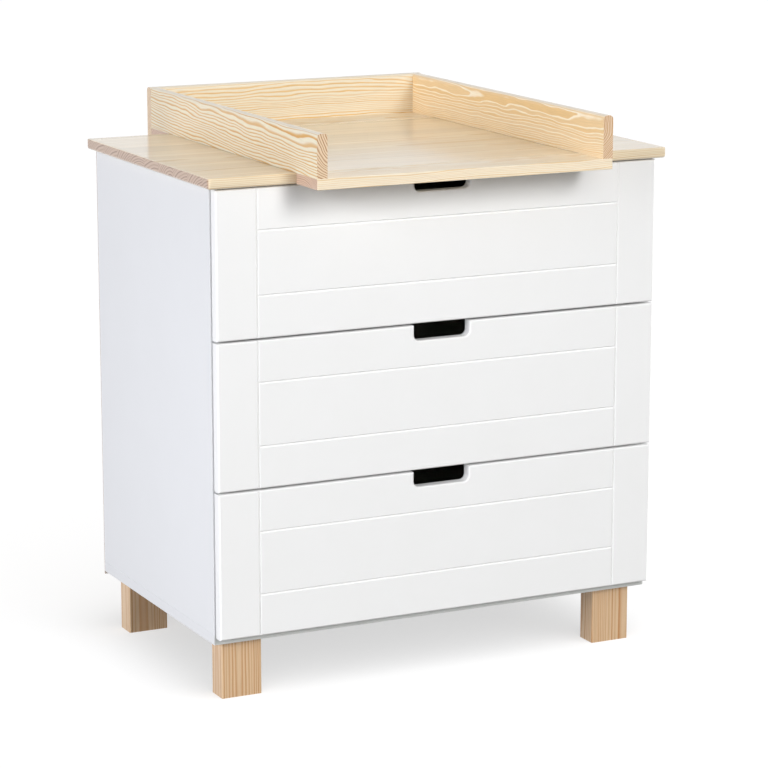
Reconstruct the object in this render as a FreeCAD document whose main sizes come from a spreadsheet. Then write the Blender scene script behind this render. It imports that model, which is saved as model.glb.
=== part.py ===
import FreeCAD, Part
import os
import re
import Sketcher

# A three-drawer chest with a pine changing tray that lifts off. The front faces -Y, +Z is up, and the
# origin is on the floor, midway between the widest points of the whole object.

os.makedirs("parts", exist_ok=True)
doc = FreeCAD.newDocument("chest_of_drawers")
Vector = FreeCAD.Vector

# Driving dimensions, in millimetres.
DRIVING = {
    # carcass
    "carcass_width": 820, "carcass_depth": 500, "side_height": 743, "board": 18, "edge_rounding": 0.8,
    "foot_height": 100, "foot_width": 72, "foot_depth": 42, "foot_rounding": 2,
    "foot_side_inset": 20, "foot_front_inset": 17, "foot_rear_inset": 25,
    "back_thickness": 3, "back_side_inset": 1, "back_drop": 5, "back_top_gap": 3,
    "rail_depth": 80, "rail_setback": 45,
    # pine top
    "top_width": 846, "top_depth": 540, "top_overhang": 9.8,
    "top_corner": 5, "top_under_rounding": 4.5, "top_rim_rounding": 2,
    # drawer fronts
    "front_width": 814, "front_height": 246.5, "front_thickness": 18, "front_rounding": 3,
    "front_spacing": 3.5, "front_gap": 1.2, "front_lap": 6,
    "notch_width": 104, "notch_depth": 26, "notch_corner": 10,
    "stile_width": 72, "rail_height": 70, "groove_width": 4.6, "groove_depth": 2.1,
    "groove_angle": 45,
    # drawer boxes
    "box_depth": 450, "box_side_height": 170, "box_board": 15, "box_raise": 24, "box_rounding": 1.2,
    "base_thickness": 3, "base_raise": 10, "base_slot": 3.4, "base_bite": 6, "base_play": 0.4,
    # runners: three nested steel channels in the space between drawer and carcass
    "runner_space": 13, "runner_length": 450, "runner_setback": 2, "runner_raise": 62, "steel": 1.2,
    "cabinet_rail_height": 45.7, "cabinet_rail_depth": 10,
    "middle_rail_height": 36, "middle_rail_start": 3.6, "middle_rail_depth": 7.8,
    "drawer_rail_height": 26.4, "drawer_rail_depth": 6.8,
    # changing tray
    "tray_width": 540, "tray_board_height": 72, "tray_rounding": 7, "strip_depth": 79.5,
    "tray_play": 0.5, "tray_rest_gap": 0.3,
    # fasteners
    "hole_play": 0.15, "cam_diameter": 15, "cam_depth": 11, "cam_set_in": 24, "cam_slot": 2,
    "bolt_diameter": 6, "bolt_bite": 10, "bolt_depth": 8, "side_screw_inset": 110, "top_screw_inset": 130,
    "nail_inset": 60, "cabinet_rail_screw_inset": 40, "drawer_rail_screw_inset": 60,
}

sheet = doc.addObject("Spreadsheet::Sheet", "sizes")
for row, (alias, number) in enumerate(DRIVING.items(), start=1):
    sheet.set(f"A{row}", alias)
    sheet.set(f"B{row}", str(number))
    sheet.setAlias(f"B{row}", alias)
doc.recompute()


def size(alias):
    """The number in the sheet's cell with this alias."""
    return float(sheet.get(alias))


def rule(text):
    """An expression in plain alias names, with each alias turned into a reference to the sheet."""
    def refer(match):
        word = match.group()
        return "sizes." + word if word in DRIVING else word
    return re.sub(r"[a-z_]+", refer, str(text))


# Levels and planes that several pieces share, as rules on the driving dimensions.
INNER_HALF = "(carcass_width / 2 - board)"
BOTTOM_TOP = "(foot_height + board)"
SIDE_TOP = f"({BOTTOM_TOP} + side_height)"
TRAY_LENGTH = "(2 * strip_depth + 2 * tray_play + top_depth + board)"
TRAY_FRONT = f"(0 - {TRAY_LENGTH} / 2)"
TRAY_UNDER = f"({SIDE_TOP} + tray_rest_gap)"
TOP_FRONT = f"({TRAY_FRONT} + strip_depth + tray_play)"
FRONT_BACK = f"({TOP_FRONT} + top_overhang + front_thickness)"
CARCASS_FRONT = f"({FRONT_BACK} + front_gap)"
CARCASS_REAR = f"({CARCASS_FRONT} + carcass_depth)"
BOX_HALF = f"({INNER_HALF} - runner_space)"

DRAWERS = ("bottom", "middle", "top")
HANDS = {"left": -1, "right": 1}

nodes = {}


def bind(thing, **rules):
    for name, text in rules.items():
        thing.setExpression(name, rule(text))


def place(thing, x, y, z):
    """Put a piece's own lowest corner, or its origin, at the point given by three rules."""
    for axis, text in zip("xyz", (x, y, z)):
        thing.setExpression("Placement.Base." + axis, rule(text))


def keep(label, thing):
    """Record a finished piece under its node name."""
    if label in nodes:
        nodes[label].Label = label + "_uncut"
    thing.Label = label
    nodes[label] = thing
    return thing


def plane(body, role):
    return next(item for item in body.Origin.OriginFeatures if item.Role == role)


def new_sketch(body, name, role):
    sketch = body.newObject("Sketcher::SketchObject", name)
    sketch.AttachmentSupport = [(plane(body, role), "")]
    sketch.MapMode = "FlatFace"
    return sketch


def add_rectangle(sketch, left, low, width, height):
    """A rectangle whose lowest corner and sides are rules on the sheet."""
    first = sketch.GeometryCount
    corners = [Vector(0, 0, 0), Vector(10, 0, 0), Vector(10, 10, 0), Vector(0, 10, 0)]
    for here, there in zip(corners, corners[1:] + corners[:1]):
        sketch.addGeometry(Part.LineSegment(here, there), False)
    for step in range(4):
        sketch.addConstraint(Sketcher.Constraint("Coincident", first + step, 2, first + (step + 1) % 4, 1))
    sketch.addConstraint(Sketcher.Constraint("Horizontal", first))
    sketch.addConstraint(Sketcher.Constraint("Vertical", first + 1))
    sketch.addConstraint(Sketcher.Constraint("Horizontal", first + 2))
    sketch.addConstraint(Sketcher.Constraint("Vertical", first + 3))
    sides = [
        (("DistanceX", first, 1, first, 2), width),
        (("DistanceY", first + 1, 1, first + 1, 2), height),
        (("DistanceX", -1, 1, first, 1), left),
        (("DistanceY", -1, 1, first, 1), low),
    ]
    for constraint, text in sides:
        index = sketch.addConstraint(Sketcher.Constraint(*constraint, 10.0))
        sketch.setExpression(f"Constraints[{index}]", rule(text))


def round_edges(body, base, radius, names=None):
    """Fillet the named edges of a feature, or all of them."""
    fillet = body.newObject("PartDesign::Fillet", body.Name + "_fillet")
    fillet.Base = (base, names or [""])
    fillet.UseAllEdges = names is None
    bind(fillet, Radius=radius)
    body.Tip = fillet
    return fillet


def edges_where(feature, test):
    """Names of the feature's edges whose middle and direction pass the test."""
    doc.recompute()
    names = []
    for number, edge in enumerate(feature.Shape.Edges, start=1):
        middle = edge.valueAt((edge.FirstParameter + edge.LastParameter) / 2)
        along = edge.tangentAt((edge.FirstParameter + edge.LastParameter) / 2)
        if test(middle, along):
            names.append(f"Edge{number}")
    return names


def upper_edges(along_axis, height):
    """A test that picks the edges of a board's upper half that run along one axis."""
    def passes(middle, along):
        return middle.z > height / 2 and abs(getattr(along, along_axis)) > 0.9
    return passes


def add_board(label, dims, corner, radius="edge_rounding", test=None):
    """A board: a rectangle drawn on the level plane, padded upwards, with its edges rounded."""
    body = doc.addObject("PartDesign::Body", label)
    outline = new_sketch(body, label + "_outline", "XY_Plane")
    add_rectangle(outline, 0, 0, dims[0], dims[1])
    pad = body.newObject("PartDesign::Pad", label + "_pad")
    pad.Profile = outline
    bind(pad, Length=dims[2])
    doc.recompute()
    round_edges(body, pad, radius, edges_where(pad, test) if test else None)
    place(body, *corner)
    return keep(label, body)


def add_box(name, dims, corner):
    box = doc.addObject("Part::Box", name)
    bind(box, Length=dims[0], Width=dims[1], Height=dims[2])
    place(box, *corner)
    return box


def cut(label, tool):
    """Take a tool away from a finished piece, and check that it took something."""
    doc.recompute()
    before = nodes[label].Shape.Volume
    result = doc.addObject("Part::Cut", label + "_cut")
    result.Base = nodes[label]
    result.Tool = tool
    keep(label, result)
    doc.recompute()
    if result.Shape.Volume >= before - 0.1:
        raise RuntimeError(f"nothing was cut from {label}")


# Carcass boards

def make_carcass():
    add_board("bottom_board", ("carcass_width", "carcass_depth", "board"),
              ("-carcass_width / 2", CARCASS_FRONT, "foot_height"))
    for hand, sign in HANDS.items():
        outer = "-carcass_width / 2" if sign < 0 else "carcass_width / 2 - board"
        add_board(hand + "_side", ("board", "carcass_depth", "side_height"), (outer, CARCASS_FRONT, BOTTOM_TOP))
    rail_y = {
        "front": f"{CARCASS_FRONT} + rail_setback",
        "rear": f"{CARCASS_REAR} - rail_depth",
    }
    for end, low_y in rail_y.items():
        add_board(end + "_top_rail", (f"2 * {INNER_HALF}", "rail_depth", "board"),
                  (f"-{INNER_HALF}", low_y, f"{SIDE_TOP} - board"))
    # The top's corners and under edge are well rounded, and its upper rim only a little.
    top = add_board("top_board", ("top_width", "top_depth", "board"), ("-top_width / 2", TOP_FRONT, SIDE_TOP),
                    radius="top_corner", test=lambda middle, along: abs(along.z) > 0.9)
    for radius, height in (("top_rim_rounding", size("board")), ("top_under_rounding", 0)):
        loop = edges_where(top.Tip, lambda middle, along: abs(middle.z - height) < 0.1)
        round_edges(top, top.Tip, radius, loop)
    back = add_box("back_panel", ("carcass_width - 2 * back_side_inset", "back_thickness",
                                  "board + side_height + back_drop - back_top_gap"),
                   ("back_side_inset - carcass_width / 2", CARCASS_REAR, "foot_height - back_drop"))
    keep("back_panel", back)


def make_feet():
    foot_y = {
        "front": f"{CARCASS_FRONT} + foot_front_inset",
        "rear": f"{CARCASS_REAR} - foot_rear_inset - foot_depth",
    }
    for end, low_y in foot_y.items():
        for hand, sign in HANDS.items():
            inset = "foot_side_inset - carcass_width / 2"
            low_x = inset if sign < 0 else f"-({inset}) - foot_width"
            add_board(f"{end}_{hand}_foot", ("foot_width", "foot_depth", "foot_height"), (low_x, low_y, 0),
                      radius="foot_rounding", test=lambda middle, along: abs(along.z) > 0.9)


# Drawers

def front_low(level):
    """Height of a drawer front's lower edge, by the drawer's place from the bottom."""
    return f"({BOTTOM_TOP} - front_lap + {level} * (front_height + front_spacing))"


def make_front(name, level):
    """A drawer front: rounded at the face, notched for fingers, grooved like a framed panel."""
    label = name + "_drawer_front"
    body = doc.addObject("PartDesign::Body", label)
    outline = new_sketch(body, label + "_outline", "XZ_Plane")
    add_rectangle(outline, "-front_width / 2", 0, "front_width", "front_height")
    pad = body.newObject("PartDesign::Pad", label + "_pad")
    pad.Profile = outline
    bind(pad, Length="front_thickness")

    notch = new_sketch(body, label + "_notch_outline", "XZ_Plane")
    add_rectangle(notch, "-notch_width / 2", "front_height - notch_depth", "notch_width", "2 * notch_depth")
    notch_cut = body.newObject("PartDesign::Pocket", label + "_notch")
    notch_cut.Profile = notch
    notch_cut.Reversed = True
    notch_cut.Type = "ThroughAll"
    body.Tip = notch_cut
    notch_floor = size("front_height") - size("notch_depth")
    corners = edges_where(
        notch_cut, lambda middle, along: abs(along.y) > 0.9 and abs(middle.z - notch_floor) < 0.1)
    rounded = round_edges(body, notch_cut, "notch_corner", corners)

    face = -size("front_thickness")
    rim = edges_where(rounded, lambda middle, along: abs(middle.y - face) < 0.1 and abs(along.y) < 0.1)
    softened = round_edges(body, rounded, "front_rounding", rim)
    doc.recompute()

    grooves = new_sketch(body, label + "_groove_lines", "XZ_Plane")
    grooves.setExpression("AttachmentOffset.Base.z", rule("front_thickness"))
    stile = "(front_width / 2 - stile_width)"
    for middle_x in (f"-{stile}", stile):
        add_rectangle(grooves, f"{middle_x} - groove_width / 2", "0 - groove_width", "groove_width",
                      "front_height + 2 * groove_width")
    groove_cut = body.newObject("PartDesign::Pocket", label + "_stile_grooves")
    groove_cut.Profile = grooves
    bind(groove_cut, Length="groove_depth", TaperAngle="0 - groove_angle")
    body.Tip = groove_cut
    rails = new_sketch(body, label + "_rail_lines", "XZ_Plane")
    rails.setExpression("AttachmentOffset.Base.z", rule("front_thickness"))
    for middle_z in ("rail_height", "(front_height - rail_height)"):
        add_rectangle(rails, f"-{stile}", f"{middle_z} - groove_width / 2", f"2 * {stile}", "groove_width")
    rail_cut = body.newObject("PartDesign::Pocket", label + "_rail_grooves")
    rail_cut.Profile = rails
    bind(rail_cut, Length="groove_depth", TaperAngle="0 - groove_angle")
    body.Tip = rail_cut
    doc.recompute()
    if not rail_cut.Shape.Volume < groove_cut.Shape.Volume < softened.Shape.Volume < pad.Shape.Volume:
        raise RuntimeError(f"a pocket of {label} cut nothing")
    place(body, 0, FRONT_BACK, front_low(level))
    keep(label, body)


def make_box(name, level):
    """The box behind a drawer front: two sides, a back between them, and a thin base held in slots."""
    low = f"({front_low(level)} + box_raise)"
    base_low = f"({low} + base_raise)"
    inner = f"({BOX_HALF} - box_board)"
    bite = "(base_bite - base_play)"
    slot = add_box(name + "_drawer_base_slot",
                   (f"2 * ({inner} + base_bite)", "box_depth + 2 * base_bite", "base_slot"),
                   (f"-({inner} + base_bite)", f"{FRONT_BACK} - base_bite", base_low))
    for hand, sign in HANDS.items():
        label = f"{name}_drawer_{hand}_side"
        low_x = f"-{BOX_HALF}" if sign < 0 else inner
        add_board(label, ("box_board", "box_depth", "box_side_height"), (low_x, FRONT_BACK, low),
                  radius="box_rounding", test=upper_edges("y", size("box_side_height")))
        cut(label, slot)
    cut(name + "_drawer_front", slot)
    rest = "(base_raise + base_slot)"
    add_board(name + "_drawer_back", (f"2 * {inner}", "box_board", f"box_side_height - {rest}"),
              (f"-{inner}", f"{FRONT_BACK} + box_depth - box_board", f"{low} + {rest}"), "box_rounding",
              test=upper_edges("x", size("box_side_height")))
    base = add_box(name + "_drawer_base",
                   (f"2 * ({inner} + {bite})", f"box_depth + {bite}", "base_thickness"),
                   (f"-({inner} + {bite})", f"{FRONT_BACK} - {bite}",
                    f"{base_low} + (base_slot - base_thickness) / 2"))
    keep(name + "_drawer_base", base)


# Runners

def channel(label, sign, start, depth, height, opens_in, z_middle):
    """A steel channel along a runner. Its depth is measured in from the carcass side."""
    def corner_x(near, reach):
        return f"-{INNER_HALF} + {near}" if sign < 0 else f"{INNER_HALF} - ({near}) - ({reach})"
    low_y = f"{CARCASS_FRONT} + runner_setback"
    outer = add_box(label + "_outside", (depth, "runner_length", height),
                    (corner_x(start, depth), low_y, f"{z_middle} - {height} / 2"))
    hollow_start = f"{start} + steel" if opens_in else f"{start} - steel"
    hollow = add_box(label + "_hollow", (depth, "runner_length + 2 * steel", f"{height} - 2 * steel"),
                     (corner_x(hollow_start, depth), f"{low_y} - steel", f"{z_middle} - {height} / 2 + steel"))
    section = doc.addObject("Part::Cut", label)
    section.Base = outer
    section.Tool = hollow
    return section


def make_runners(name, level):
    """The rails of one drawer: on the carcass, between, and on the drawer."""
    z_middle = f"({front_low(level)} + box_raise + runner_raise)"
    between = []
    for hand, sign in HANDS.items():
        label = f"{name}_{hand}_cabinet_rail"
        keep(label, channel(label, sign, "0", "cabinet_rail_depth", "cabinet_rail_height", True, z_middle))
        between.append(channel(f"{name}_{hand}_between", sign, "middle_rail_start", "middle_rail_depth",
                               "middle_rail_height", True, z_middle))
        label = f"{name}_drawer_{hand}_rail"
        keep(label, channel(label, sign, "(runner_space - drawer_rail_depth)", "drawer_rail_depth",
                            "drawer_rail_height", False, z_middle))
    pair = doc.addObject("Part::Compound", name + "_intermediate_rails")
    pair.Links = between
    keep(name + "_intermediate_rails", pair)


# Changing tray

def make_tray():
    above = f"({TRAY_UNDER} + board)"
    for hand, sign in HANDS.items():
        low_x = "-tray_width / 2" if sign < 0 else "tray_width / 2 - board"
        add_board(f"tray_{hand}_board", ("board", f"{TRAY_LENGTH} - board", "tray_board_height"),
                  (low_x, TRAY_FRONT, above), "tray_rounding", upper_edges("y", size("tray_board_height")))
    add_board("tray_back_board", ("tray_width", "board", "tray_board_height + board"),
              ("-tray_width / 2", f"{TRAY_FRONT} + {TRAY_LENGTH} - board", TRAY_UNDER), "tray_rounding",
              upper_edges("x", size("tray_board_height")))
    strip_y = {"front": TRAY_FRONT, "rear": f"{TRAY_FRONT} + {TRAY_LENGTH} - board - strip_depth"}
    for end, low_y in strip_y.items():
        add_board(f"tray_{end}_strip", ("tray_width", "strip_depth", "board"),
                  ("-tray_width / 2", low_y, TRAY_UNDER))


# Fasteners: turned shapes, each placed from the boards that it joins

class Turned:
    """A fastener turned about its own axis. The profile is a list of (radius, depth below the head's top)."""

    def __init__(self, profile):
        self.profile = profile

    def solid(self, at, direction, play=0.0):
        points = [Vector(radius + (play if radius else 0), 0, -depth) for radius, depth in self.profile]
        points[0].z += play
        points[1].z += play
        points[-1].z -= play
        face = Part.Face(Part.makePolygon(points + points[:1]))
        shape = face.revolve(Vector(0, 0, 0), Vector(0, 0, 1), 360)
        shape.Placement = FreeCAD.Placement(at, FreeCAD.Rotation(Vector(0, 0, -1), direction))
        return shape


WOOD_SCREW = Turned([(0, 0), (4.6, 0), (2.2, 2.4), (2.2, 44), (0, 50)])
SHORT_SCREW = Turned([(0, 0), (3.8, 0), (1.9, 2), (1.9, 26), (0, 30)])
BOARD_SCREW = Turned([(0, 0), (4.8, 0), (4.8, 1), (3.2, 3), (3.2, 46), (0, 50)])
PAN_SCREW = Turned([(0, 0), (3.2, 0), (3.2, 1.6), (1.7, 1.6), (1.7, 10), (0, 13)])
NAIL = Turned([(0, 0), (2.0, 0), (2.0, 0.7), (0.75, 0.7), (0.75, 19), (0, 21)])

DOWN, UP = Vector(0, 0, -1), Vector(0, 0, 1)
FORWARD = Vector(0, -1, 0)


def reach(label):
    """A piece's box: XMin, XMax and so on."""
    return nodes[label].Shape.BoundBox


def evenly(low, high, count, inset):
    """Places spread evenly between two ends, each end drawn in by the inset."""
    step = (high - low - 2 * inset) / (count - 1)
    return [low + inset + step * turn for turn in range(count)]


def add_group(label, solids):
    """One node that holds a group of like, separate solids."""
    group = doc.addObject("Part::Feature", label)
    group.Shape = Part.makeCompound(solids)
    return keep(label, group)


def fasten(label, fastener, spots, drilled):
    """Put a fastener at each (point, direction), and drill every piece that they go through."""
    add_group(label, [fastener.solid(at, way) for at, way in spots])
    holes = doc.addObject("Part::Feature", label + "_holes")
    holes.Shape = Part.makeCompound([fastener.solid(at, way, size("hole_play")) for at, way in spots])
    for piece in drilled:
        cut(piece, holes)


def fasten_carcass():
    spots = []
    feet = [f"{end}_{hand}_foot" for end in ("front", "rear") for hand in HANDS]
    for foot in feet:
        box = reach(foot)
        for x in evenly(box.XMin, box.XMax, 2, size("foot_width") / 4):
            spots.append((Vector(x, (box.YMin + box.YMax) / 2, size("foot_height") + size("board")), DOWN))
    fasten("foot_screws", WOOD_SCREW, spots, ["bottom_board"] + feet)

    spots = []
    sides = [hand + "_side" for hand in HANDS]
    for side in sides:
        box = reach(side)
        for y in evenly(box.YMin, box.YMax, 3, size("side_screw_inset")):
            spots.append((Vector((box.XMin + box.XMax) / 2, y, size("foot_height")), UP))
    fasten("side_screws", BOARD_SCREW, spots, ["bottom_board"] + sides)

    spots = []
    rails = [end + "_top_rail" for end in ("front", "rear")]
    for rail in rails:
        box = reach(rail)
        for x in evenly(box.XMin, box.XMax, 3, size("top_screw_inset")):
            spots.append((Vector(x, (box.YMin + box.YMax) / 2, box.ZMin), UP))
    fasten("top_screws", SHORT_SCREW, spots, rails + ["top_board"])

    box = reach("back_panel")
    edge = size("board") / 2 - size("back_side_inset")
    head_y = box.YMax + NAIL.profile[2][1]
    spots = []
    for x in (box.XMin + edge, box.XMax - edge):
        for z in evenly(size("foot_height") + size("board"), box.ZMax, 7, size("nail_inset")):
            spots.append((Vector(x, head_y, z), FORWARD))
    for x in evenly(box.XMin, box.XMax, 6, size("nail_inset")):
        spots.append((Vector(x, head_y, size("foot_height") + size("board") / 2), FORWARD))
    fasten("back_nails", NAIL, spots, ["back_panel", "bottom_board"] + sides)


def fasten_runners():
    """Pan-head screws through the web of each rail on the carcass, and of each rail on a drawer."""
    head = PAN_SCREW.profile[2][1]
    cabinet_spots, cabinet_rails = [], []
    for name in DRAWERS:
        drawer_spots, drawer_pieces = [], []
        for hand, sign in HANDS.items():
            rail = f"{name}_{hand}_cabinet_rail"
            box = reach(rail)
            wall = box.XMin if sign < 0 else box.XMax
            for y in evenly(box.YMin, box.YMax, 3, size("cabinet_rail_screw_inset")):
                at = Vector(wall - sign * (size("steel") + head), y, (box.ZMin + box.ZMax) / 2)
                cabinet_spots.append((at, Vector(sign, 0, 0)))
            cabinet_rails.append(rail)
            rail = f"{name}_drawer_{hand}_rail"
            box = reach(rail)
            wall = box.XMax if sign < 0 else box.XMin
            for y in evenly(box.YMin, box.YMax, 3, size("drawer_rail_screw_inset")):
                at = Vector(wall + sign * (size("steel") + head), y, (box.ZMin + box.ZMax) / 2)
                drawer_spots.append((at, Vector(-sign, 0, 0)))
            drawer_pieces += [rail, f"{name}_drawer_{hand}_side"]
        fasten(name + "_drawer_rail_screws", PAN_SCREW, drawer_spots, drawer_pieces)
    fasten("runner_screws", PAN_SCREW, cabinet_spots, cabinet_rails + [hand + "_side" for hand in HANDS])


def cam_pair(center, face, toward, play=0.0):
    """A cam lock let into a face, and the bolt that runs from its rim into the next board."""
    radius = size("cam_diameter") / 2 + play
    cam = Part.makeCylinder(radius, size("cam_depth") + play, center, face)
    if not play:
        slot = size("cam_slot")
        across = face.cross(toward)
        for way in (toward, across):
            bar = Part.makeBox(2 * slot, slot, slot, Vector(-slot, -slot / 2, 0))
            bar.Placement = FreeCAD.Placement(center, FreeCAD.Rotation(way, face.cross(way), face, "XZY"))
            cam = cam.cut(bar)
    middle = center + face * size("bolt_depth")
    start = middle + toward * (size("cam_diameter") / 2 + 2 * size("hole_play"))
    length = size("cam_set_in") - size("cam_diameter") / 2 - 2 * size("hole_play") + size("bolt_bite")
    bolt = Part.makeCylinder(size("bolt_diameter") / 2 + play, length + play, start, toward)
    return [cam, bolt]


def fit_cams(label, spots, drilled):
    add_group(label, [piece for spot in spots for piece in cam_pair(*spot)])
    holes = doc.addObject("Part::Feature", label + "_holes")
    holes.Shape = Part.makeCompound([piece for spot in spots for piece in cam_pair(*spot, size("hole_play"))])
    for piece in drilled:
        cut(piece, holes)


def fit_all_cams():
    set_in = size("cam_set_in")
    spots = []
    rails = [end + "_top_rail" for end in ("front", "rear")]
    for rail in rails:
        box = reach(rail)
        for sign, end_x in ((-1, box.XMin), (1, box.XMax)):
            for y in evenly(box.YMin, box.YMax, 2, size("rail_depth") / 4):
                spots.append((Vector(end_x - sign * set_in, y, box.ZMin), UP, Vector(sign, 0, 0)))
    fit_cams("rail_cam_fittings", spots, rails + [hand + "_side" for hand in HANDS])

    for name in DRAWERS:
        spots = []
        sides = [f"{name}_drawer_{hand}_side" for hand in HANDS]
        back = reach(name + "_drawer_back")
        for side, sign in zip(sides, HANDS.values()):
            box = reach(side)
            inner_x = box.XMax if sign < 0 else box.XMin
            for z in evenly(back.ZMin, back.ZMax, 2, size("box_side_height") / 6):
                spots.append((Vector(inner_x, box.YMin + set_in, z), Vector(sign, 0, 0), FORWARD))
                spots.append((Vector(inner_x - sign * set_in, back.YMax, z), FORWARD, Vector(sign, 0, 0)))
        fit_cams(name + "_drawer_cam_fittings", spots, sides + [name + "_drawer_front", name + "_drawer_back"])


def fasten_tray():
    """Screws up through the strips into the boards, and through the back board into boards and strip."""
    spots = []
    back = reach("tray_back_board")
    for hand in HANDS:
        box = reach(f"tray_{hand}_board")
        middle_x = (box.XMin + box.XMax) / 2
        for end in ("front", "rear"):
            strip = reach(f"tray_{end}_strip")
            for y in evenly(strip.YMin, strip.YMax, 2, size("strip_depth") / 4):
                spots.append((Vector(middle_x, y, strip.ZMin), UP))
        for z in evenly(box.ZMin, box.ZMax, 2, size("tray_board_height") / 4):
            spots.append((Vector(middle_x, back.YMax, z), FORWARD))
    strip = reach("tray_rear_strip")
    for x in evenly(strip.XMin, strip.XMax, 3, size("tray_width") / 6):
        spots.append((Vector(x, back.YMax, (strip.ZMin + strip.ZMax) / 2), FORWARD))
    boards = [f"tray_{which}_board" for which in ("left", "right", "back")]
    strips = [f"tray_{end}_strip" for end in ("front", "rear")]
    fasten("tray_screws", WOOD_SCREW, spots, boards + strips)


make_carcass()
make_feet()
for level, name in enumerate(DRAWERS):
    make_front(name, level)
    make_box(name, level)
    make_runners(name, level)
make_tray()
doc.recompute()
fasten_carcass()
fasten_runners()
fit_all_cams()
fasten_tray()
doc.recompute()

# Nothing is written unless every object came out whole.
for item in doc.Objects:
    if "Invalid" in item.State or "Error" in item.State:
        raise RuntimeError(f"{item.Label} failed: {item.State}")
for label, item in nodes.items():
    if item.Shape.isNull() or not item.Shape.isValid():
        raise RuntimeError(f"{label} has no sound shape")
for label, item in nodes.items():
    item.Shape.exportStep(f"parts/{label}.step")
    print(f"{label}: {len(item.Shape.Solids)} solids, {item.Shape.Volume / 1000:.1f} cm3")
print(len(nodes), "nodes")
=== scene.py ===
# %% [markdown]
# # A chest of drawers with a lift-off changing tray
# The shapes come from CAD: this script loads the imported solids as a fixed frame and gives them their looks.
# White boards, clear pine, brown hardboard and zinc-plated steel each get a procedural material, and the
# small hardware that repeats is grown with Geometry Nodes. Everything is in metres, with the front facing -Y.

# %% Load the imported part
import math

import bpy
import numpy as np
from mathutils import Euler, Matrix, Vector


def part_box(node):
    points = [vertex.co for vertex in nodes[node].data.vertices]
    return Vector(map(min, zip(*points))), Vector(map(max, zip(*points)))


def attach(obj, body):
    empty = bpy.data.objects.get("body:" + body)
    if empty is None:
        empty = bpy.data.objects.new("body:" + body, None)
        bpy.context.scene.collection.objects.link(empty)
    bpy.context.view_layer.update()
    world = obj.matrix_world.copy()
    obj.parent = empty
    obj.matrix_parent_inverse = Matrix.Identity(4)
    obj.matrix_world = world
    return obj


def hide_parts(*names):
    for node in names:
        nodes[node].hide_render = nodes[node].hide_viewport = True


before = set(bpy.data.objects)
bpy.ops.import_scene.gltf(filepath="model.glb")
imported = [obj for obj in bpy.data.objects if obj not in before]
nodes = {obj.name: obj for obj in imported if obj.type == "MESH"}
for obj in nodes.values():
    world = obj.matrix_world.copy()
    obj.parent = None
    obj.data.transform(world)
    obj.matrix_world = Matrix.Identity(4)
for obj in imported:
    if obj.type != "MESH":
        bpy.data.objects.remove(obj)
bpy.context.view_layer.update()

# %% [markdown]
# ## Two helpers that every material uses
# Colours are picked as sRGB hex values, as in any paint program, but Blender's sockets take linear light,
# so one function converts them. A second function adds a node, sets it and links it in one go. It returns
# the output socket, so a chain of nodes reads from top to bottom like a recipe.

# %% Colour and node helpers
MM = 0.001


def colour(hex_value):
    """An sRGB hex colour as the linear colour that a socket takes."""
    channels = [int(hex_value[start:start + 2], 16) / 255 for start in (1, 3, 5)]
    linear = [c / 12.92 if c <= 0.04045 else ((c + 0.055) / 1.055) ** 2.4 for c in channels]
    return (*linear, 1.0)


def add(tree, kind, links, out=0, **settings):
    """Add one node. A link is a socket to join or a plain value to set. Returns the output named by out."""
    node = tree.nodes.new(kind)
    for name, value in settings.items():
        setattr(node, name, value)
    for name, value in links.items():
        if isinstance(value, bpy.types.NodeSocket):
            tree.links.new(value, node.inputs[name])
        else:
            node.inputs[name].default_value = value
    return node.outputs[out] if len(node.outputs) else node


# The Mix node keeps its colour sockets at these places, after those for numbers and vectors.
MIX_FACTOR, MIX_A, MIX_B, MIX_RESULT = 0, 6, 7, 2


def new_material(name):
    """An empty node material and its tree."""
    material = bpy.data.materials.new(name)
    material.use_nodes = True
    material.node_tree.nodes.clear()
    return material, material.node_tree


print("white as written #F2F2F0 is", [round(c, 3) for c in colour("#F2F2F0")[:3]], "in linear light")

# %% [markdown]
# ## The camera
# The photograph was taken from the front left, a little above the top, with a long lens. The angles and the
# distance were found by fitting the solids' corners to the same corners in the photograph. The camera has no
# shift and no depth of field, so other views of the part stay centred and sharp. Lengths are in metres, and
# the lens and the sensor in millimetres.

# %% Camera
CAMERA_TURN = math.radians(26.25)
CAMERA_DIP = math.radians(12.28)
CAMERA_DISTANCE = 5.120
CAMERA_SIDESTEP = 0.022
CAMERA_HEIGHT = 1.567
LENS = 140.06
SENSOR_WIDTH = 36
CLIP_END = 100

level = Vector((math.sin(CAMERA_TURN), math.cos(CAMERA_TURN), 0))
sideways = Vector((math.cos(CAMERA_TURN), -math.sin(CAMERA_TURN), 0))
looking = level * math.cos(CAMERA_DIP) - Vector((0, 0, math.sin(CAMERA_DIP)))

camera_data = bpy.data.cameras.new("camera")
camera_data.lens = LENS
camera_data.sensor_width = SENSOR_WIDTH
camera_data.clip_end = CLIP_END
camera = bpy.data.objects.new("camera", camera_data)
camera.location = Vector((0, 0, CAMERA_HEIGHT)) - level * CAMERA_DISTANCE + sideways * CAMERA_SIDESTEP
camera.rotation_mode = "QUATERNION"
camera.rotation_quaternion = looking.to_track_quat("-Z", "Y")
bpy.context.scene.collection.objects.link(camera)
bpy.context.scene.camera = camera
print("camera at", [round(x, 3) for x in camera.location])

# %% [markdown]
# ## Studio light and floor
# The tray's front strip throws a soft shadow on the top drawer that is dark at the strip and gone five
# centimetres below. So most light comes from in front, slightly to the right, as from a tall soft box. Three
# soft suns, one above the other, stand in for it, because a sun lights the whole scene evenly, and the lowest
# is only a trace. A box near the chest lets the light fade towards the feet. A cooler sun and a second box do
# the same for the left side, and a third box lifts the pine on top. Two more suns keep the right side and the
# back from going grey, and a trace of light comes from overhead. No lamp shows in reflections, or the lacquer
# would mirror it as a bright patch in some views.

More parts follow.
